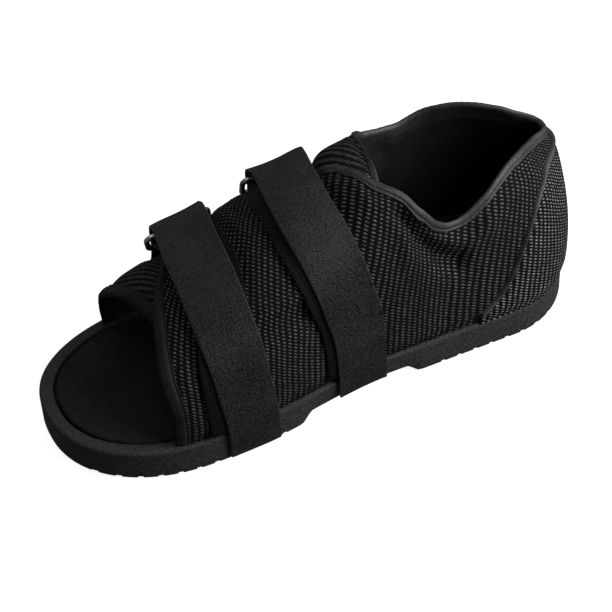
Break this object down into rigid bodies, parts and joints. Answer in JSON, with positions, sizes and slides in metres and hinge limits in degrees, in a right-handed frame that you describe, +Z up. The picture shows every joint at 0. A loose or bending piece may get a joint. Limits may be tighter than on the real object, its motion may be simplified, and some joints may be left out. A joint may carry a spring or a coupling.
{
  "type": "post operative shoe",
  "caption": "Open-toed post-operative shoe with a lugged flat sole, a wrap-over mesh upper and hook-and-loop straps folded back through metal rings.",
  "frame": {"origin": "on the floor under the centre of the rounded heel, on the flat of a tread lug", "axes": "+X along the shoe towards the toe, +Y towards the side where the straps fasten, +Z up"},
  "size_m": [0.2933, 0.1116, 0.118],
  "materials": {
    "outsole": "matte moulded, fine grain",
    "insole": "matte, soft cover over foam",
    "upper": "black spacer mesh, lined with cloth",
    "collar_tape": "smooth folded edge binding",
    "toe_tape_near": "smooth folded edge binding",
    "toe_tape_far": "smooth folded edge binding",
    "heel_counter": "black spacer mesh over a stiffener",
    "counter_piping": "smooth piping",
    "front_strap": "matte black webbing",
    "front_ring": "plain wire",
    "front_keeper": "matte black webbing",
    "rear_strap": "matte black webbing",
    "rear_ring": "plain wire",
    "rear_keeper": "matte black webbing"
  },
  "bodies": {
    "root": {"outsole": "outsole", "insole": "insole", "upper": "upper", "collar_tape": "collar_tape", "toe_tape_near": "toe_tape_near", "toe_tape_far": "toe_tape_far", "heel_counter": "heel_counter", "counter_piping": "counter_piping", "front_strap": "front_strap", "front_ring": "front_ring", "front_keeper": "front_keeper", "rear_strap": "rear_strap", "rear_ring": "rear_ring", "rear_keeper": "rear_keeper"}
  },
  "joints": []
}
